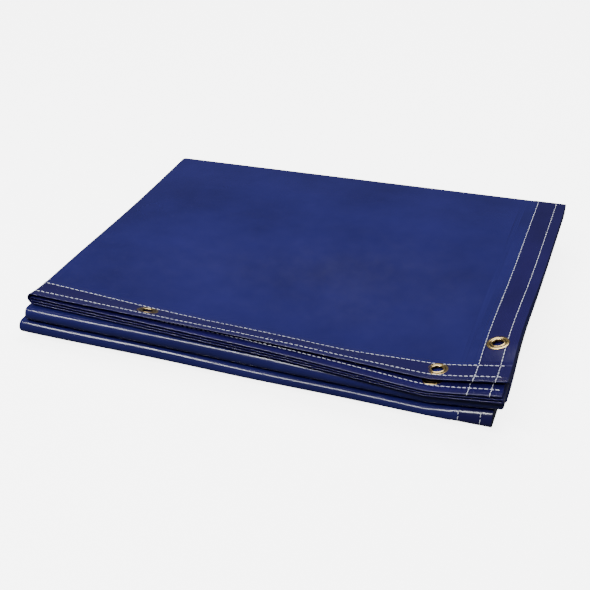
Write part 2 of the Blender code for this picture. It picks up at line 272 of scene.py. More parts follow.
class Ribbon:
    """The middle line of the four plies, and how far its two faces stand off it."""

    def __init__(self, levels, shift, b_out=0.0, flat=None, all_hem=False):
        self.all_hem = all_hem
        level_a = levels["A"] + PLY
        flat_a = level_a if flat is None else flat
        thick = HEM_UNDER + 0.1 if all_hem else PLY
        right = shift + PANEL
        outer_r = (flat_a - levels["D"]) / 2
        outer_x = shift + outer_r + thick
        inner_r = (levels["B"] - levels["C"]) / 2
        inner_x = shift + thick * 3.2 + inner_r + 1.2
        mid_r = (levels["C"] - levels["D"]) / 2
        right_x = right - mid_r - thick
        rows = []

        def add(x, level, ply, inset=1e3):
            rows.append((x, level, ply, inset))

        for d in RIGHT:
            add(right + b_out - d, levels["B"], "B", d)
        start = right + b_out - RIGHT[-1]
        for x in span(start, inner_x, PLY_STEPS):
            add(x, levels["B"], "B")
        for x, level in reversed(arc_points(inner_x, levels["C"], levels["B"], -1, 8)):
            add(x, level, "B")
        for x in (inner_x, *span(inner_x, right_x, PLY_STEPS)):
            add(x, levels["C"], "C")
        for x, level in reversed(arc_points(right_x, levels["D"], levels["C"], 1, 8)):
            add(x, level, "C")
        for x in (right_x, *span(right_x, outer_x, PLY_STEPS)):
            add(x, levels["D"], "D")
        for x, level in arc_points(outer_x, levels["D"], flat_a, -1, 14):
            add(x, level, "D")
        for x in (outer_x, *span(outer_x, right - RIGHT[-1], TOP_STEPS)[:-1]):
            add(x, flat_a, "A")
        for d in RIGHT[::-1]:
            share = smooth((d - HEM_EDGE) / 3.0)
            add(right - d, level_a + (flat_a - level_a) * share, "A", d)
        self.x = np.array([r[0] for r in rows])
        self.level = np.array([r[1] for r in rows])
        self.ply = np.array([r[2] for r in rows])
        self.inset = np.array([r[3] for r in rows])
        step = np.hypot(np.diff(self.x), np.diff(self.level))
        self.along = np.concatenate([[0.0], np.cumsum(step)])

    def outline(self, end_round=1.0, lift=0.0, pinch=0.0, front_hem=0.0):
        """Face and back points as (x, level) arrays; end_round thins the cloth to nothing at an edge."""
        tangent_x = np.gradient(self.x)
        tangent_l = np.gradient(self.level)
        size = np.hypot(tangent_x, tangent_l)
        normal = np.stack([-tangent_l / size, tangent_x / size], axis=-1)
        side_hem = 1 - smooth((self.inset - HEM_EDGE) / 1.2)
        crosswise = 1.0 if self.all_hem else front_hem
        hem = np.maximum(side_hem, crosswise)
        over = np.where(self.ply == "B", HEM_UNDER, HEM_OVER)
        under = np.where(self.ply == "B", HEM_OVER, HEM_UNDER)
        corner = CORNER_EXTRA * side_hem * crosswise
        rows = sum(np.exp(-((self.inset - row) / 0.9) ** 2) for row in (ROW_OUTER, ROW_INNER))
        dip = PUCKER * np.clip(rows + pinch, 0, 1)
        edge = np.sqrt(np.clip(1 - (1 - np.clip(self.inset / EDGE_ROUND, 0, 1)) ** 2, 0.004, 1))
        face = (PLY + over * hem + corner - dip) * edge * end_round
        back = (PLY + under * hem + corner - 0.6 * dip) * edge * end_round
        middle = np.stack([self.x, self.level + lift], axis=-1)
        return middle + normal * face[:, None], middle - normal * back[:, None]


def leaf_height(leaf, level):
    return BASE[leaf] + SIGN[leaf] * level


def curtain_length(leaf, y):
    """How far down the curtain a place on a leaf is, for the cloth's own coordinates."""
    order = (1, 2, 3, 4, 5).index(leaf)
    return order * DEPTH + (y if SIGN[leaf] > 0 else DEPTH - y)


class Section:
    """One station of a loft: face and back points in design space, and its place down the cloth."""

    def __init__(self, face, back, down):
        self.face = face
        self.back = back
        self.down = down


# The curl of the top hem's front edge: on the plies inside, on ply A, and ply A's peak near the knee.
INNER_LIP = 1.0
TOP_LIP = 1.3
LIP_PEAK = 1.4
LIP_PEAK_X = 395.0
LIP_PEAK_REACH = 75.0
LIP_LENGTH = 14.0


def lip(distance, x, on_top=1.0):
    """How far the hem's front edge curls up; ply A, on top, curls most, near the right."""
    top = TOP_LIP + LIP_PEAK * np.exp(-((x - LIP_PEAK_X) / LIP_PEAK_REACH) ** 2)
    return (INNER_LIP + (top - INNER_LIP) * on_top) * np.clip(1 - distance / LIP_LENGTH, 0, None) ** 2


def hem_lip(distance):
    """The curl along the whole ribbon, from the plies inside to ply A on top."""
    on_top = smooth((TOP_HEM_RIBBON.level - TOP_LEVELS["B"]) / (TOP_LEVELS["A"] - TOP_LEVELS["B"]))
    return lip(distance, TOP_HEM_RIBBON.x, on_top)


def creep(x, ply):
    return np.where(ply == "A", 0.0, -CREEP * x / PANEL)


def leaf_section(ribbon, leaf, y, end_round=1.0, lift=0.0, pinch=0.0, front_hem=0.0):
    face, back = ribbon.outline(end_round, lift, pinch, front_hem)
    sides = []
    for side in (face, back):
        place = y(side[:, 0], ribbon.ply) if callable(y) else np.full(len(side), y)
        sides.append(np.stack([side[:, 0], place, leaf_height(leaf, side[:, 1])], axis=-1))
    middle = float(np.mean(sides[0][:, 1]))
    return Section(sides[0], sides[1], curtain_length(leaf, middle))


FOLD_TURNS = [0.0, 0.02, 0.05, 0.1, 0.16, 0.22, 0.28, 0.34, 0.39, 0.43, 0.46, 0.48, 0.49,
              0.51, 0.52, 0.54, 0.57, 0.61, 0.66, 0.72, 0.78, 0.84, 0.9, 0.95, 0.98, 1.0]


def fold_point(lower, upper, low, high, turn, start, side):
    """A point part of the way round a fold, from (x, level) arrays on its two leaves."""
    bottom = leaf_height(lower, low[..., 1])
    top = leaf_height(upper, high[..., 1])
    radius = (top - bottom) / 2
    x = low[..., 0] + (high[..., 0] - low[..., 0]) * turn
    y = start + side * radius * math.sin(math.pi * turn)
    return np.stack([x, y, (top + bottom) / 2 - radius * math.cos(math.pi * turn)], axis=-1)


def fold_sections(lower, upper, ribbons, start, side):
    low, high = ribbons[lower].outline(), ribbons[upper].outline()
    base = curtain_length(lower, start)
    reach = curtain_length(upper, start) - base
    sections = []
    for turn in FOLD_TURNS:
        face = fold_point(lower, upper, low[0], high[0], turn, start, side)
        back = fold_point(lower, upper, low[1], high[1], turn, start, side)
        sections.append(Section(face, back, base + reach * turn))
    return sections


def loft(name, ribbon, sections, side_of_knee=0):
    """A closed mesh through the sections; side_of_knee -1 or 1 keeps what is left or right of the knee."""
    shape = bmesh.new()
    layer = shape.verts.layers.float_vector.new("cloth")
    keep = side_of_knee * (ribbon.x - KNEE_X) >= -1e-6
    runs = []
    for index in range(len(keep)):
        if keep[index]:
            if index == 0 or not keep[index - 1]:
                runs.append([])
            runs[-1].append(index)
    placed = [(to_world(settle(s.face)), to_world(settle(s.back)), s.down) for s in sections]
    across = ribbon.along * 0.001
    for run in runs:
        if len(run) < 2:
            continue
        rings = []
        for face, back, down in placed:
            ring = []
            for side, order in ((face, run), (back, run[::-1])):
                for index in order:
                    vertex = shape.verts.new(side[index])
                    vertex[layer] = (across[index], down * 0.001, ribbon.inset[index] * 0.001)
                    ring.append(vertex)
            rings.append(ring)
        count = len(rings[0])
        half = len(run)
        hem = [ribbon.inset[i] < ROW_INNER for i in run]
        for lower, upper in zip(rings, rings[1:]):
            for index in range(count):
                following = (index + 1) % count
                quad = shape.faces.new((lower[index], lower[following], upper[following], upper[index]))
                place = index if index < half else count - 1 - index
                quad.material_index = 1 if hem[min(place, half - 1)] else 0
        for ring in (rings[0], rings[-1]):
            for index in range(half - 1):
                last = count - 1 - index
                shape.faces.new((ring[index], ring[index + 1], ring[last - 1], ring[last]))
    bmesh.ops.recalc_face_normals(shape, faces=shape.faces[:])
    mesh = bpy.data.meshes.new(name)
    shape.to_mesh(mesh)
    shape.free()
    mesh.shade_smooth()
    mesh.set_sharp_from_angle(angle=math.radians(50))
    piece = bpy.data.objects.new(name, mesh)
    bpy.context.scene.collection.objects.link(piece)
    return piece


# ---------------------------------------------------------------- materials

def link(tree, a, b):
    tree.links.new(a, b)


def new_material(name):
    material = bpy.data.materials.new(name)
    material.use_nodes = True
    tree = material.node_tree
    return material, tree, tree.nodes["Principled BSDF"]


def node(tree, kind, **values):
    made = tree.nodes.new(kind)
    for key, value in values.items():
        if key in made.inputs:
            made.inputs[key].default_value = value
        else:
            setattr(made, key, value)
    return made


def math_node(tree, operation, first, second=None):
    made = tree.nodes.new("ShaderNodeMath")
    made.operation = operation
    for socket, value in zip(made.inputs, (first, second)):
        if isinstance(value, (int, float)):
            socket.default_value = value
        elif value is not None:
            link(tree, value, socket)
    return made.outputs[0]


def ramp(tree, factor, stops):
    made = tree.nodes.new("ShaderNodeValToRGB")
    link(tree, factor, made.inputs["Fac"])
    elements = made.color_ramp.elements
    while len(elements) < len(stops):
        elements.new(0.5)
    for element, (position, colour) in zip(elements, stops):
        element.position = position
        element.color = (*colour, 1.0)
    return made.outputs["Color"]


def cloth_coordinates(tree):
    return node(tree, "ShaderNodeAttribute", attribute_name="cloth").outputs["Vector"]


WEAVE_PITCH = 0.0014


def cloth_material(name, deep, middle, light, rough):
    """Vinyl-laminated polyester: a fine woven scrim showing through a satin film."""
    material, tree, shader = new_material(name)
    cloth = cloth_coordinates(tree)
    parts = tree.nodes.new("ShaderNodeSeparateXYZ")
    link(tree, cloth, parts.inputs[0])
    threads = 2 * math.pi / WEAVE_PITCH
    warp = math_node(tree, "SINE", math_node(tree, "MULTIPLY", parts.outputs["X"], threads))
    weft = math_node(tree, "SINE", math_node(tree, "MULTIPLY", parts.outputs["Y"], threads))
    grid = math_node(tree, "MAXIMUM", warp, weft)
    patches = node(tree, "ShaderNodeTexNoise", Scale=9.0, Detail=3.0, Roughness=0.55)
    link(tree, cloth, patches.inputs["Vector"])
    fine = node(tree, "ShaderNodeTexNoise", Scale=1400.0, Detail=2.0)
    link(tree, cloth, fine.inputs["Vector"])
    scuffs = node(tree, "ShaderNodeTexNoise", Scale=60.0, Detail=6.0, Roughness=0.65)
    link(tree, cloth, scuffs.inputs["Vector"])
    tone = math_node(tree, "ADD", math_node(tree, "MULTIPLY", patches.outputs["Fac"], 0.75),
                     math_node(tree, "MULTIPLY", fine.outputs["Fac"], 0.13))
    tone = math_node(tree, "ADD", tone, math_node(tree, "MULTIPLY", grid, 0.035))
    tone = math_node(tree, "ADD", tone, math_node(tree, "MULTIPLY", scuffs.outputs["Fac"], 0.12))
    colour = ramp(tree, tone, [(0.3, deep), (0.52, middle), (0.78, light)])
    link(tree, colour, shader.inputs["Base Color"])
    gloss = math_node(tree, "MULTIPLY", scuffs.outputs["Fac"], 0.16)
    gloss = math_node(tree, "ADD", gloss, rough - 0.08)
    gloss = math_node(tree, "ADD", gloss, math_node(tree, "MULTIPLY", grid, 0.02))
    link(tree, gloss, shader.inputs["Roughness"])
    shader.inputs["Specular IOR Level"].default_value = 0.5
    weave = node(tree, "ShaderNodeBump", Strength=0.15, Distance=0.00008)
    link(tree, grid, weave.inputs["Height"])
    grain = node(tree, "ShaderNodeBump", Strength=0.04, Distance=0.0003)
    link(tree, scuffs.outputs["Fac"], grain.inputs["Height"])
    link(tree, weave.outputs["Normal"], grain.inputs["Normal"])
    link(tree, grain.outputs["Normal"], shader.inputs["Normal"])
    return material


def thread_material():
    material, tree, shader = new_material("white_thread")
    place = node(tree, "ShaderNodeTexCoord").outputs["Object"]
    fibres = node(tree, "ShaderNodeTexNoise", Scale=2600.0, Detail=3.0)
    link(tree, place, fibres.inputs["Vector"])
    colour = ramp(tree, fibres.outputs["Fac"], [(0.3, (0.78, 0.82, 0.94)), (0.7, (0.97, 0.98, 1.0))])
    link(tree, colour, shader.inputs["Base Color"])
    shader.inputs["Roughness"].default_value = 0.65
    twist = node(tree, "ShaderNodeBump", Strength=0.5, Distance=0.0001)
    link(tree, fibres.outputs["Fac"], twist.inputs["Height"])
    link(tree, twist.outputs["Normal"], shader.inputs["Normal"])
    return material


def brass_material(name, bright, dark):
    """Lacquered brass, a little tarnished, with painted shade darkening its colour in its hollows: the
    groove, the bore and the underside.
    """
    material, tree, shader = new_material(name)
    place = node(tree, "ShaderNodeTexCoord").outputs["Object"]
    # Painted shade: the mesh's hollow weight darkens the colour in the groove, bore and underside, where
    # shade falls.
    shade_in_hollows = node(tree, "ShaderNodeAttribute", attribute_name="painted_hollow_shade").outputs["Fac"]
    tarnish = node(tree, "ShaderNodeTexNoise", Scale=420.0, Detail=5.0, Roughness=0.6)
    link(tree, place, tarnish.inputs["Vector"])
    scratches = node(tree, "ShaderNodeTexNoise", Scale=2400.0, Detail=2.0)
    link(tree, place, scratches.inputs["Vector"])
    # The colour darkens with random tarnish, which is real, and with the painted shade of the hollows.
    tarnish_plus_shade = math_node(tree, "ADD", math_node(tree, "MULTIPLY", shade_in_hollows, 0.75),
                      math_node(tree, "MULTIPLY", tarnish.outputs["Fac"], 0.4))
    colour = ramp(tree, tarnish_plus_shade, [(0.12, bright), (0.45, tuple(0.75 * c for c in bright)), (0.95, dark)])
    link(tree, colour, shader.inputs["Base Color"])
    shader.inputs["Metallic"].default_value = 1.0
    rough = math_node(tree, "ADD", math_node(tree, "MULTIPLY", tarnish.outputs["Fac"], 0.16), 0.14)
    link(tree, rough, shader.inputs["Roughness"])
    bump = node(tree, "ShaderNodeBump", Strength=0.15, Distance=0.0001)
    link(tree, scratches.outputs["Fac"], bump.inputs["Height"])
    link(tree, bump.outputs["Normal"], shader.inputs["Normal"])
    return material


CURTAIN_BLUE = cloth_material("curtain_vinyl", (0.0092, 0.009, 0.074), (0.0122, 0.0119, 0.097),
                              (0.0165, 0.0158, 0.122), 0.17)
HEM_BLUE = cloth_material("hem_vinyl", (0.0076, 0.0053, 0.05), (0.0099, 0.0069, 0.066),
                          (0.0134, 0.0092, 0.084), 0.17)
THREAD = thread_material()
# Eyelet and washer brass, darkened by tarnish and by painted shade in their hollows.
EYELET_BRASS = brass_material("eyelet_brass_tarnish_painted_shade", (0.78, 0.56, 0.24), (0.03, 0.016, 0.006))
WASHER_BRASS = brass_material("washer_brass_tarnish_painted_shade", (0.7, 0.5, 0.22), (0.03, 0.016, 0.006))


# ---------------------------------------------------------------- cloth pieces

RIBBONS = {leaf: Ribbon(LEAF_LEVELS, SHIFT[leaf]) for leaf in (2, 3, 5)}
RIBBONS[4] = Ribbon(LEAF_LEVELS, SHIFT[4], flat=BASE_FLAT)
RIBBONS[1] = Ribbon(TOP_LEVELS, SHIFT[1])
TOP_RIBBON = Ribbon(TOP_LEVELS, SHIFT[1], B_OUT)
TOP_HEM_RIBBON = Ribbon(TOP_LEVELS, SHIFT[1], B_OUT, all_hem=True)
END_HEM_RIBBON = Ribbon(END_LEVELS, SHIFT[5], all_hem=True)


def finish_cloth(piece, slot, replaced):
    """Give the piece its material slots and hide the CAD nodes it stands for."""
    # A piece with holes already has an empty place for its first material, which came with the cut.
    materials = piece.data.materials
    for place, material in enumerate((HEM_BLUE if slot == "hem" else CURTAIN_BLUE, HEM_BLUE)):
        if place < len(materials):
            materials[place] = material
        else:
            materials.append(material)
    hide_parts(*replaced)


def grommet_frame(centre):
    """A grommet's settled middle, its three axes, and how much the cloth's height is scaled there."""
    nudge = 0.5
    steps = []
    for axis in np.eye(3) * nudge:
        steps.append(settle(centre + axis) - settle(centre - axis))
    axis_x = steps[0] / np.linalg.norm(steps[0])
    axis_z = np.cross(axis_x, steps[1])
    axis_z /= np.linalg.norm(axis_z)
    return settle(centre), axis_x, np.cross(axis_z, axis_x), axis_z, steps[2][2]


# How much further right the top leaf's side grommet sits in the settled pile.
RIGHT_GROMMET_SHIFT = 2.5


def grommet_places():
    """Each grommet's label, body, leaf and centre in the even stack, from the CAD eyelets."""
    places = []
    for body, members in frame["record"]["behaviour"]["bodies"].items():
        for eyelet in [n for n in members if n.endswith("_eyelet")]:
            label = eyelet[:-len("_eyelet")]
            low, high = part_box(eyelet)
            middle = (low + high) / 2 * 1000
            x, y, z = middle.x + CENTRE[0], middle.y + CENTRE[1], middle.z
            on_hem = label.startswith("top_hem")
            if on_hem and z < leaf_height(1, TOP_LEVELS["A"]) - 1.0:
                y += creep(x, "B") * (1 - CAD_CREEP / CREEP)
            if label == "right_side_1":
                x += RIGHT_GROMMET_SHIFT
            if label == "left_side_1":
                x += B_OUT - CAD_B_OUT
            leaf = 1 if on_hem else int(label.rsplit("_", 1)[1])
            places.append((label, body, leaf, np.array([x, y, z])))
    return places


GROMMETS = grommet_places()
CUT_HALF = 1.9
CUT_STEPS = 24


def carry_cloth(mesh, before, values):
    """Give a cut mesh the cloth coordinates of the mesh it was cut from."""
    tree = BVHTree.FromPolygons([v.co for v in before.vertices], [p.vertices for p in before.polygons])
    cloth = np.zeros((len(mesh.vertices), 3))
    for vertex in mesh.vertices:
        place, _, face, _ = tree.find_nearest(vertex.co)
        corners = before.polygons[face].vertices
        weights = poly_3d_calc([before.vertices[i].co for i in corners], place)
        cloth[vertex.index] = sum(w * values[i] for w, i in zip(weights, corners))
    return cloth


def cut_holes(piece, leaf, label_starts):
    """Cut the cloth inside each grommet of a leaf, leaving the eyelet's barrel room."""
    shape = bmesh.new()
    for label, _, home, centre in GROMMETS:
        if home != leaf or not label.startswith(label_starts):
            continue
        middle, axis_x, axis_y, axis_z, _ = grommet_frame(centre)
        rings = []
        for height in (-CUT_HALF, CUT_HALF):
            ring = []
            for step in range(CUT_STEPS):
                angle = 2 * math.pi * step / CUT_STEPS
                side = CUT_R * (math.cos(angle) * axis_x + math.sin(angle) * axis_y)
                ring.append(shape.verts.new(to_world(middle + side + height * axis_z)))
            rings.append(ring)
        shape.faces.new(rings[0])
        shape.faces.new(rings[1])
        for i in range(CUT_STEPS):
            j = (i + 1) % CUT_STEPS
            shape.faces.new((rings[0][i], rings[0][j], rings[1][j], rings[1][i]))
    bmesh.ops.recalc_face_normals(shape, faces=shape.faces[:])
    mesh = bpy.data.meshes.new("grommet_cutter")
    shape.to_mesh(mesh)
    shape.free()
    cutter = bpy.data.objects.new("grommet_cutter", mesh)
    bpy.context.scene.collection.objects.link(cutter)
    hole = piece.modifiers.new("grommet_holes", "BOOLEAN")
    hole.operation = "DIFFERENCE"
    hole.solver = "MANIFOLD"
    hole.object = cutter
    before = piece.data
    values = np.zeros(len(before.vertices) * 3)
    before.attributes["cloth"].data.foreach_get("vector", values)
    evaluated = piece.evaluated_get(bpy.context.evaluated_depsgraph_get())
    after = bpy.data.meshes.new_from_object(evaluated)
    piece.modifiers.remove(hole)
    bpy.data.objects.remove(cutter)
    bpy.data.meshes.remove(mesh)
    cloth = carry_cloth(after, before, values.reshape(-1, 3))
    if "cloth" in after.attributes:
        after.attributes.remove(after.attributes["cloth"])
    layer = after.attributes.new("cloth", "FLOAT_VECTOR", "POINT")
    layer.data.foreach_set("vector", cloth.astype(np.float32).ravel())
    piece.data = after
    piece.data.name = piece.name
    bpy.data.meshes.remove(before)


def blend_gap(piece):
    """Bake the piece's placement into its mesh."""
    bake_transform(piece)


def crept(y):
    return lambda x, ply: y + creep(x, ply)


def fading_creep(y):
    """The plies under A have crept forward at the front edge and not at the back fold."""
    share = (UPPER_BACK - y) / (UPPER_BACK - TOP_FRONT - ROW_INNER)
    return lambda x, ply: y + creep(x, ply) * share


def pinched(distance):
    return math.exp(-(distance / 0.9) ** 2)


def make_top_hem():
    """The top hem from its folded front edge to its inner row of stitches."""
    stations = [0.0, 0.03, 0.12, 0.3, 0.55, 0.8, 1.5, 3.0, 5.0, 7.5]
    stations += [ROW_OUTER + step for step in (-1.4, -0.7, 0.0, 0.7, 1.4)]
    stations += [14.0, 17.0, 20.5, 24.0, 26.5, ROW_INNER - 1.4, ROW_INNER - 0.7, ROW_INNER]
    sections = []
    for d in stations:
        edge = math.sqrt(max(1 - (1 - min(d / EDGE_ROUND, 1)) ** 2, 0.004))
        pinch = pinched(d - ROW_OUTER) + pinched(d - ROW_INNER)
        sections.append(leaf_section(TOP_HEM_RIBBON, 1, crept(TOP_FRONT + d), edge, hem_lip(d), pinch))
    piece = loft("top_hem_cloth", TOP_HEM_RIBBON, sections)
    cut_holes(piece, 1, "top_hem")
    finish_cloth(piece, "hem", ["top_hem"])
    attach(piece, "top_leaf")
    return piece


def make_top_leaf():
    first = TOP_FRONT + ROW_INNER
    stations = [first, first + 0.7, first + 1.4, first + 2.6]
    stations += [TOP_FRONT + HEM_EDGE + step for step in (0.0, 0.4, 0.8, 1.2, 3.0)]
    stations += list(np.linspace(TOP_FRONT + HEM_EDGE + 8, UPPER_BACK - 1.5, 44)) + [UPPER_BACK]
    sections = []
    for y in stations:
        hem = 1 - smooth((y - TOP_FRONT - HEM_EDGE) / 1.2)
        section = leaf_section(TOP_RIBBON, 1, fading_creep(y), 1.0, 0.0, pinched(y - first), hem)
        sections.append(section)
    piece = loft("top_leaf_cloth", TOP_RIBBON, sections)
    cut_holes(piece, 1, ("right_side", "left_side"))
    finish_cloth(piece, "curtain", ["leaf_1_top"])
    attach(piece, "top_leaf")
    return piece


def make_plain_leaf(name, leaf, start, end, body, replaced, steps=22):
    stations = [start, start + 1.5] + list(np.linspace(start + 8, end - 8, steps)) + [end - 1.5, end]
    sections = [leaf_section(RIBBONS[leaf], leaf, y) for y in stations]
    piece = loft(name, RIBBONS[leaf], sections)
    cut_holes(piece, leaf, ("right_side", "left_side"))
    finish_cloth(piece, "curtain", replaced)
    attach(piece, body)
    return piece


def make_bottom_hem():
    stations = [0.0, 0.03, 0.12, 0.3, 0.55, 0.8, 1.5, 4.0]
    stations += [ROW_OUTER + step for step in (-1.2, 0.0, 1.2)]
    stations += [16.0, 22.0, ROW_INNER - 1.2, ROW_INNER, ROW_INNER + 1.2, HEM_EDGE - 1, HEM_EDGE, 40.0]
    sections = []
    for d in reversed(stations):
        edge = math.sqrt(max(1 - (1 - min(d / EDGE_ROUND, 1)) ** 2, 0.004))
        pinch = pinched(d - ROW_OUTER) + pinched(d - ROW_INNER)
        sections.append(leaf_section(END_HEM_RIBBON, 5, TUCK_END - d, edge, 0.0, pinch))
    piece = loft("bottom_hem_cloth", END_HEM_RIBBON, sections)
    finish_cloth(piece, "hem", ["bottom_hem"])
    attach(piece, "bottom_leaves")
    return piece


def make_fold(name, lower, upper, start, side, replaced, side_of_knee=0):
    """A fold from one leaf up to the next; its plies turn round it one outside the other."""
    sections = fold_sections(lower, upper, RIBBONS, start, side)
    piece = loft(name, RIBBONS[lower], sections, side_of_knee)
    finish_cloth(piece, "curtain", replaced)
    return piece


SIDES_OF_KNEE = (("middle_front_fold_cloth", -1, (0.0, KNEE_X), 1),
                 ("middle_front_fold_hem_end", 1, (KNEE_X, PANEL), 0))


def make_cloth():
    """Every stretch of the curtain, from its top hem down to its bottom one."""
    make_top_hem()
    make_top_leaf()
    fold = make_fold("upper_back_fold_cloth", 2, 1, UPPER_BACK, 1, ["back_fold_upper"])
    blend_gap(fold)
    make_plain_leaf("second_leaf_cloth", 2, MIDDLE_FRONT, UPPER_BACK, "second_leaf", ["leaf_2"])
    # The middle fold's height changes slope at the knee line, so it is made as two pieces that meet there.
    for name, side_of_knee, x_range, anchor in SIDES_OF_KNEE:
        fold = make_fold(name, 3, 2, MIDDLE_FRONT, -1, ["front_fold_middle"],
                         side_of_knee)
        blend_gap(fold)
    make_plain_leaf("third_leaf_cloth", 3, MIDDLE_FRONT, LOWER_BACK, "third_leaf", ["leaf_3"])
    fold = make_fold("lower_back_fold_cloth", 4, 3, LOWER_BACK, 1, ["back_fold_lower"])
    blend_gap(fold)
    make_plain_leaf("bottom_leaf_cloth", 4, LOWER_FRONT, LOWER_BACK, "bottom_leaves", ["leaf_4_bottom"])
    fold = make_fold("lower_front_fold_cloth", 4, 5, LOWER_FRONT, -1, ["front_fold_lower"])
    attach(fold, "bottom_leaves")
    make_plain_leaf("tucked_leaf_cloth", 5, LOWER_FRONT, TUCK_END - 40.0, "bottom_leaves", ["leaf_5_tucked"])
    make_bottom_hem()


make_cloth()


# ---------------------------------------------------------------- rows of stitching

# A stitch: rings along it, how far it slants and rises, and how deep its ends dip into the cloth.
THREAD_RINGS = 7
THREAD_SLANT = 0.16
THREAD_ARCH = 0.34
THREAD_SINK = 0.18


class Stitches:
    """Many short threads gathered into one mesh."""

    def __init__(self):
        self.points = []
        self.faces = []

    def add(self, centres, normals, radii, sides=8):
        """One thread along design-space centres, a ring of points about each."""
        centres = np.asarray(centres, float)
        tangents = np.gradient(centres, axis=0)
        tangents /= np.linalg.norm(tangents, axis=1)[:, None]
        across = np.cross(tangents, normals)
        across /= np.linalg.norm(across, axis=1)[:, None]
        outward = np.cross(across, tangents)
        base = sum(len(block) for block in self.points)
        angles = np.linspace(0, 2 * math.pi, sides, endpoint=False)
        rings = []
        for centre, side, out, radius in zip(centres, across, outward, radii):
            ring = centre + radius * (np.cos(angles)[:, None] * side + np.sin(angles)[:, None] * out)
            rings.append(ring)
        self.points.append(to_world(settle(np.concatenate(rings))))
        count = len(rings)
        for r in range(count - 1):
            for i in range(sides):
                j = (i + 1) % sides
                low, high = base + r * sides, base + (r + 1) * sides
                self.faces.append((low + i, low + j, high + j, high + i))
        self.faces.append(tuple(base + i for i in range(sides))[::-1])
        self.faces.append(tuple(base + (count - 1) * sides + i for i in range(sides)))

    def row(self, path, normals, start=0.0, end=None, phase=0.0):
        """A row of lockstitch along a path; the threads' ends dip into the cloth."""
        path = np.asarray(path, float)
        normals = np.asarray(normals, float)
        length = np.concatenate([[0], np.cumsum(np.linalg.norm(np.diff(path, axis=0), axis=1))])
        end = length[-1] if end is None else end
        place = start + phase
        while place + DASH <= end:
            t = np.linspace(0, 1, THREAD_RINGS)
            at = place + t * DASH
            centres = np.stack([np.interp(at, length, path[:, k]) for k in range(3)], axis=-1)
            ups = np.stack([np.interp(at, length, normals[:, k]) for k in range(3)], axis=-1)
            ups /= np.linalg.norm(ups, axis=1)[:, None]
            arch = 1 - (2 * t - 1) ** 4
            tangents = np.gradient(centres, axis=0)
            tangents /= np.linalg.norm(tangents, axis=1)[:, None]
            slant = np.cross(tangents, ups) * (THREAD_SLANT * (2 * t - 1))[:, None]
            centres = centres + ups * (THREAD_ARCH * arch - THREAD_SINK)[:, None] + slant
            radii = THREAD_R * np.sqrt(np.clip(1 - (2 * t - 1) ** 6, 0.12, 1))
            self.add(centres, ups, radii)
            place += PITCH

    def make(self, name, body=None, replaced=()):
        mesh = bpy.data.meshes.new(name)
        mesh.from_pydata(np.concatenate(self.points).tolist(), [], self.faces)
        mesh.shade_smooth()
        mesh.materials.append(THREAD)
        piece = bpy.data.objects.new(name, mesh)
        bpy.context.scene.collection.objects.link(piece)
        if replaced:
            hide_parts(*replaced)
        if body:
            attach(piece, body)
        return piece


FACE_ROW = 2 * PLY + HEM_OVER - PUCKER


def side_x(leaf, row):
    return SHIFT[leaf] + PANEL - row


ROW_POINTS = 60


def leaf_row(leaf, row, y_start, y_end, levels=LEAF_LEVELS):
    """A side row on ply A's face, along one leaf."""
    ys = np.linspace(y_start, y_end, ROW_POINTS)
    z = leaf_height(leaf, levels["A"] + FACE_ROW)
    path = np.stack([np.full(ROW_POINTS, side_x(leaf, row)), ys, np.full(ROW_POINTS, z)], axis=-1)
    return path, np.tile((0.0, 0.0, float(SIGN[leaf])), (ROW_POINTS, 1))


def fold_row(lower, upper, row, start, side, upper_levels=LEAF_LEVELS):
    """A side row on ply A's face, round one fold."""
    low = np.array([side_x(lower, row), LEAF_LEVELS["A"] + FACE_ROW])
    high = np.array([side_x(upper, row), upper_levels["A"] + FACE_ROW])
    turns = np.linspace(0, 1, 40)
    path = np.array([fold_point(lower, upper, low, high, t, start, side) for t in turns])
    outward = np.stack([0 * turns, side * np.sin(math.pi * turns), -np.cos(math.pi * turns)], axis=-1)
    return path, outward * -SIGN[lower]


def path_and_normals(section_side, index):
    """A row that follows the ribbon across one section: its points and their normals in X and Z."""
    path = section_side[index]
    tangent = np.gradient(path, axis=0)
    normals = np.stack([-tangent[:, 2], 0 * tangent[:, 0], tangent[:, 0]], axis=-1)
    return path, normals / np.linalg.norm(normals, axis=1)[:, None]


ROW_END = 2.5


def on_plies(ribbon, plies):
    """The places of the given plies along a ribbon, short of the curtain's side edge."""
    return [i for i in range(len(ribbon.x)) if ribbon.ply[i] in plies and ribbon.inset[i] > ROW_END]


def hem_rows(stitches, ribbon, leaf, section_at, plies):
    """Both rows of a crosswise hem, on the ribbon's face, over the given plies."""
    for row in (ROW_OUTER, ROW_INNER):
        section = section_at(row)
        path, normals = path_and_normals(section.face, on_plies(ribbon, plies))
        stitches.row(path, normals * (1 if SIGN[leaf] > 0 else -1))


def top_hem_section(d):
    return leaf_section(TOP_HEM_RIBBON, 1, crept(TOP_FRONT + d), 1.0, hem_lip(d), 1.0)


HOOK_RINGS = 9
HOOK_RADIUS = 0.95
HOOK_REACH = 2.6
HOOK_INSET = 0.7


def over_edge(stitches, x, y, z):
    """The last thread of a side row, hooked over a hem's front edge."""
    path = []
    normals = []
    for t in np.linspace(-0.5, 1.35, HOOK_RINGS):
        turn = math.pi * np.clip(t, 0, 1)
        back = HOOK_INSET + HOOK_REACH * max(0, -t) * 2 - HOOK_RADIUS * math.sin(turn)
        path.append((x, y + back, z + HOOK_RADIUS * math.cos(math.pi * np.clip(t, 0, 1.2))))
        normals.append((0.0, -math.sin(turn), math.cos(turn)))
    stitches.add(path, normals, [THREAD_R] * HOOK_RINGS)


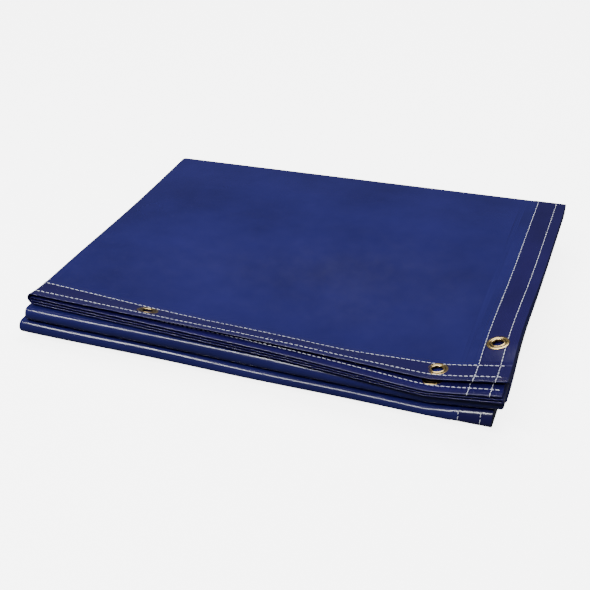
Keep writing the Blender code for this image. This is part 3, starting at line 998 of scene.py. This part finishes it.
top_rows = Stitches()
hem_rows(top_rows, TOP_HEM_RIBBON, 1, top_hem_section, "DA")
for row in (ROW_OUTER, ROW_INNER):
    x = side_x(1, row)
    path, normals = leaf_row(1, row, TOP_FRONT + 1.5, TOP_FRONT + ROW_INNER + 1, TOP_LEVELS)
    path[:, 2] += CORNER_EXTRA + lip(path[:, 1] - TOP_FRONT, x)
    top_rows.row(path, normals)
    over_edge(top_rows, x, TOP_FRONT, leaf_height(1, TOP_LEVELS["A"] + lip(0, x)) + 0.1)
top_rows.make("top_hem_stitches", "top_leaf", ["top_hem_thread_outer", "top_hem_thread_inner"])

ply_b_rows = Stitches()
# The last places on ply B are its turn down to ply C, which the row does not go round.
PLY_B_TURN = 8
index = on_plies(TOP_HEM_RIBBON, "B")[:-PLY_B_TURN]
path, normals = path_and_normals(top_hem_section(ROW_OUTER).back, index)
ply_b_rows.row(path, -normals)
for row in (ROW_OUTER, ROW_INNER):
    x = PANEL + B_OUT - row
    front = TOP_FRONT - CREEP * x / PANEL
    ys = np.linspace(front + 1.0, front + ROW_INNER, ROW_POINTS)
    z = leaf_height(1, TOP_LEVELS["B"] + PLY + HEM_OVER + CORNER_EXTRA - 0.1)
    z = z + lip(ys - front, x, 0.0)
    path = np.stack([np.full(ROW_POINTS, x), ys, z], axis=-1)
    ply_b_rows.row(path, np.tile((0.0, 0.0, 1.0), (ROW_POINTS, 1)))
    over_edge(ply_b_rows, x, front, leaf_height(1, TOP_LEVELS["B"] + lip(0, x, 0.0)))
ply_b_rows.make("under_hem_stitches", "top_leaf")

side_rows = {name: Stitches() for name in ("top", "upper", "second", "third", "lower", "bottom")}
for row in (ROW_OUTER, ROW_INNER):
    side_rows["top"].row(*leaf_row(1, row, TOP_FRONT + ROW_INNER + 1.6, UPPER_BACK, TOP_LEVELS))
    side_rows["upper"].row(*fold_row(2, 1, row, UPPER_BACK, 1, TOP_LEVELS), phase=0.5)
    side_rows["second"].row(*leaf_row(2, row, MIDDLE_FRONT, UPPER_BACK), phase=0.5)
    side_rows["third"].row(*leaf_row(3, row, MIDDLE_FRONT, LOWER_BACK), phase=0.5)
    side_rows["lower"].row(*fold_row(4, 3, row, LOWER_BACK, 1), phase=0.5)
    side_rows["bottom"].row(*leaf_row(4, row, LOWER_FRONT, LOWER_BACK), phase=0.5)
    side_rows["bottom"].row(*fold_row(4, 5, row, LOWER_FRONT, -1), phase=0.6)
    side_rows["bottom"].row(*leaf_row(5, row, LOWER_FRONT, TUCK_END - 42.0), phase=0.5)
side_rows["top"].make("side_stitches_top", "top_leaf", ["side_hem_thread_outer", "side_hem_thread_inner"])
side_rows["second"].make("side_stitches_second", "second_leaf")
side_rows["third"].make("side_stitches_third", "third_leaf")
side_rows["bottom"].make("side_stitches_bottom", "bottom_leaves")
blend_gap(side_rows["upper"].make("side_stitches_upper_fold"))
blend_gap(side_rows["lower"].make("side_stitches_lower_fold"))



def bottom_hem_section(d):
    return leaf_section(END_HEM_RIBBON, 5, TUCK_END - d, 1.0, 0.0, 1.0)


end_rows = Stitches()
hem_rows(end_rows, END_HEM_RIBBON, 5, bottom_hem_section, "A")
end_rows.make("bottom_hem_stitches", "bottom_leaves")


# ---------------------------------------------------------------- grommets

# Each point of a turned outline: its radius, its height off the cloth's middle, and how much painted shade
# darkens its colour, as it lies in a hollow.
EYELET_PROFILE = [
    (10.3, 0.64, 0.9), (10.42, 0.8, 0.35), (10.3, 0.98, 0.05), (9.7, 1.16, 0.0), (8.8, 1.34, 0.0),
    (7.9, 1.45, 0.05), (7.5, 1.2, 0.6), (7.2, 1.12, 0.9), (6.9, 1.3, 0.5),
    (6.5, 1.66, 0.1), (6.0, 1.78, 0.0), (5.3, 1.5, 0.1),
    (4.88, 0.9, 0.5), (4.77, 0.3, 0.9), (4.75, -0.9, 1.0), (4.85, -1.2, 0.5), (5.2, -1.42, 0.1),
    (5.9, -1.5, 0.0), (6.7, -1.42, 0.1), (7.0, -1.26, 0.5), (6.6, -1.2, 0.8), (5.9, -1.22, 0.9),
    (5.4, -0.9, 1.0), (5.35, 0.5, 1.0), (5.8, 0.66, 1.0), (9.8, 0.62, 1.0),
]
WASHER_PROFILE = [
    (5.5, -0.68, 1.0), (9.5, -0.68, 1.0), (9.95, -0.74, 0.6), (10.0, -0.86, 0.2), (9.6, -1.0, 0.0),
    (8.6, -1.12, 0.0), (7.4, -1.16, 0.1), (6.2, -1.14, 0.6), (5.5, -1.1, 1.0),
]
TURN_STEPS = 56


def add_turned(name, profile, centre, sign, material, body, replaced):
    """A round brass piece, turned about its own axis and laid on the settled cloth."""
    angles = np.linspace(0, 2 * math.pi, TURN_STEPS, endpoint=False)
    radii = np.array([p[0] for p in profile])
    heights = np.array([p[1] for p in profile])
    count = len(profile)
    middle, axis_x, axis_y, axis_z, rise = grommet_frame(centre)
    points = []
    for angle in angles:
        flat = np.outer(radii * math.cos(angle), axis_x) + np.outer(radii * math.sin(angle), axis_y)
        points.append(middle + flat + np.outer(heights * sign * rise, axis_z))
    faces = []
    for step in range(TURN_STEPS):
        after = (step + 1) % TURN_STEPS
        for i in range(count):
            j = (i + 1) % count
            faces.append((step * count + i, after * count + i, after * count + j, step * count + j))
    mesh = bpy.data.meshes.new(name)
    mesh.from_pydata(to_world(np.concatenate(points)).tolist(), [], faces)
    shape = bmesh.new()
    shape.from_mesh(mesh)
    bmesh.ops.recalc_face_normals(shape, faces=shape.faces[:])
    shape.to_mesh(mesh)
    shape.free()
    mesh.shade_smooth()
    # Painted shade: a weight per point that darkens the brass colour in its hollows.
    painted_hollow_shade = mesh.attributes.new("painted_hollow_shade", "FLOAT", "POINT")
    painted_hollow_shade.data.foreach_set("value", np.tile([p[2] for p in profile], TURN_STEPS).astype(np.float32))
    mesh.materials.append(material)
    piece = bpy.data.objects.new(name, mesh)
    bpy.context.scene.collection.objects.link(piece)
    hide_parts(replaced)
    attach(piece, body)
    return piece


def add_grommets():
    """A turned eyelet and washer in the place of each plain pair."""
    for label, body, leaf, centre in GROMMETS:
        add_turned(f"{label}_grommet", EYELET_PROFILE, centre, SIGN[leaf],
                   EYELET_BRASS, body, f"{label}_eyelet")
        add_turned(f"{label}_grommet_back", WASHER_PROFILE, centre, SIGN[leaf],
                   WASHER_BRASS, body, f"{label}_washer")


add_grommets()


# ---------------------------------------------------------------- camera, floor and light

def add_camera():
    data = bpy.data.cameras.new("photo_camera")
    data.lens = 68.69
    data.sensor_width = 36.0
    data.clip_start = 0.01
    camera = bpy.data.objects.new("photo_camera", data)
    camera.location = (0.3183, -0.9554, 0.598)
    camera.rotation_euler = (math.radians(58.801), 0.0, math.radians(19.421))
    bpy.context.scene.collection.objects.link(camera)
    bpy.context.scene.camera = camera


def add_area(name, place, aim, size, power):
    data = bpy.data.lights.new(name, "AREA")
    data.shape = "RECTANGLE"
    data.size, data.size_y = size
    data.energy = power
    lamp = bpy.data.objects.new(name, data)
    lamp.location = place
    lamp.rotation_euler = (Vector(aim) - Vector(place)).to_track_quat("-Z", "Y").to_euler()
    bpy.context.scene.collection.objects.link(lamp)


# The floor lies this far under the pack, because the second leaf dips that much when it is laid open.
FLOOR_DROP = 0.0065


def add_floor():
    shape = bmesh.new()
    bmesh.ops.create_grid(shape, x_segments=2, y_segments=2, size=6.0)
    mesh = bpy.data.meshes.new("studio_floor")
    shape.to_mesh(mesh)
    shape.free()
    floor = bpy.data.objects.new("studio_floor", mesh)
    floor.location.z = -FLOOR_DROP
    bpy.context.scene.collection.objects.link(floor)
    material, _, shader = new_material("studio_paper")
    shader.inputs["Base Color"].default_value = (0.92, 0.92, 0.93, 1.0)
    shader.inputs["Roughness"].default_value = 0.9
    shader.inputs["Emission Color"].default_value = (1.0, 1.0, 1.0, 1.0)
    shader.inputs["Emission Strength"].default_value = 5.0
    floor.data.materials.append(material)
    floor.visible_glossy = False
    floor.visible_diffuse = False


def add_world():
    world = bpy.data.worlds.new("studio")
    world.use_nodes = True
    background = world.node_tree.nodes["Background"]
    background.inputs["Color"].default_value = (0.93, 0.95, 1.0, 1.0)
    background.inputs["Strength"].default_value = 0.12
    bpy.context.scene.world = world


add_camera()
add_floor()
add_world()
add_area("overhead", (0.0, 0.65, 2.1), (0.0, 0.0, 0.0), (2.4, 1.5), 60.0)
add_area("front_strip", (-0.45, -1.15, 1.4), (0.0, -0.15, 0.02), (1.6, 0.07), 36.0)
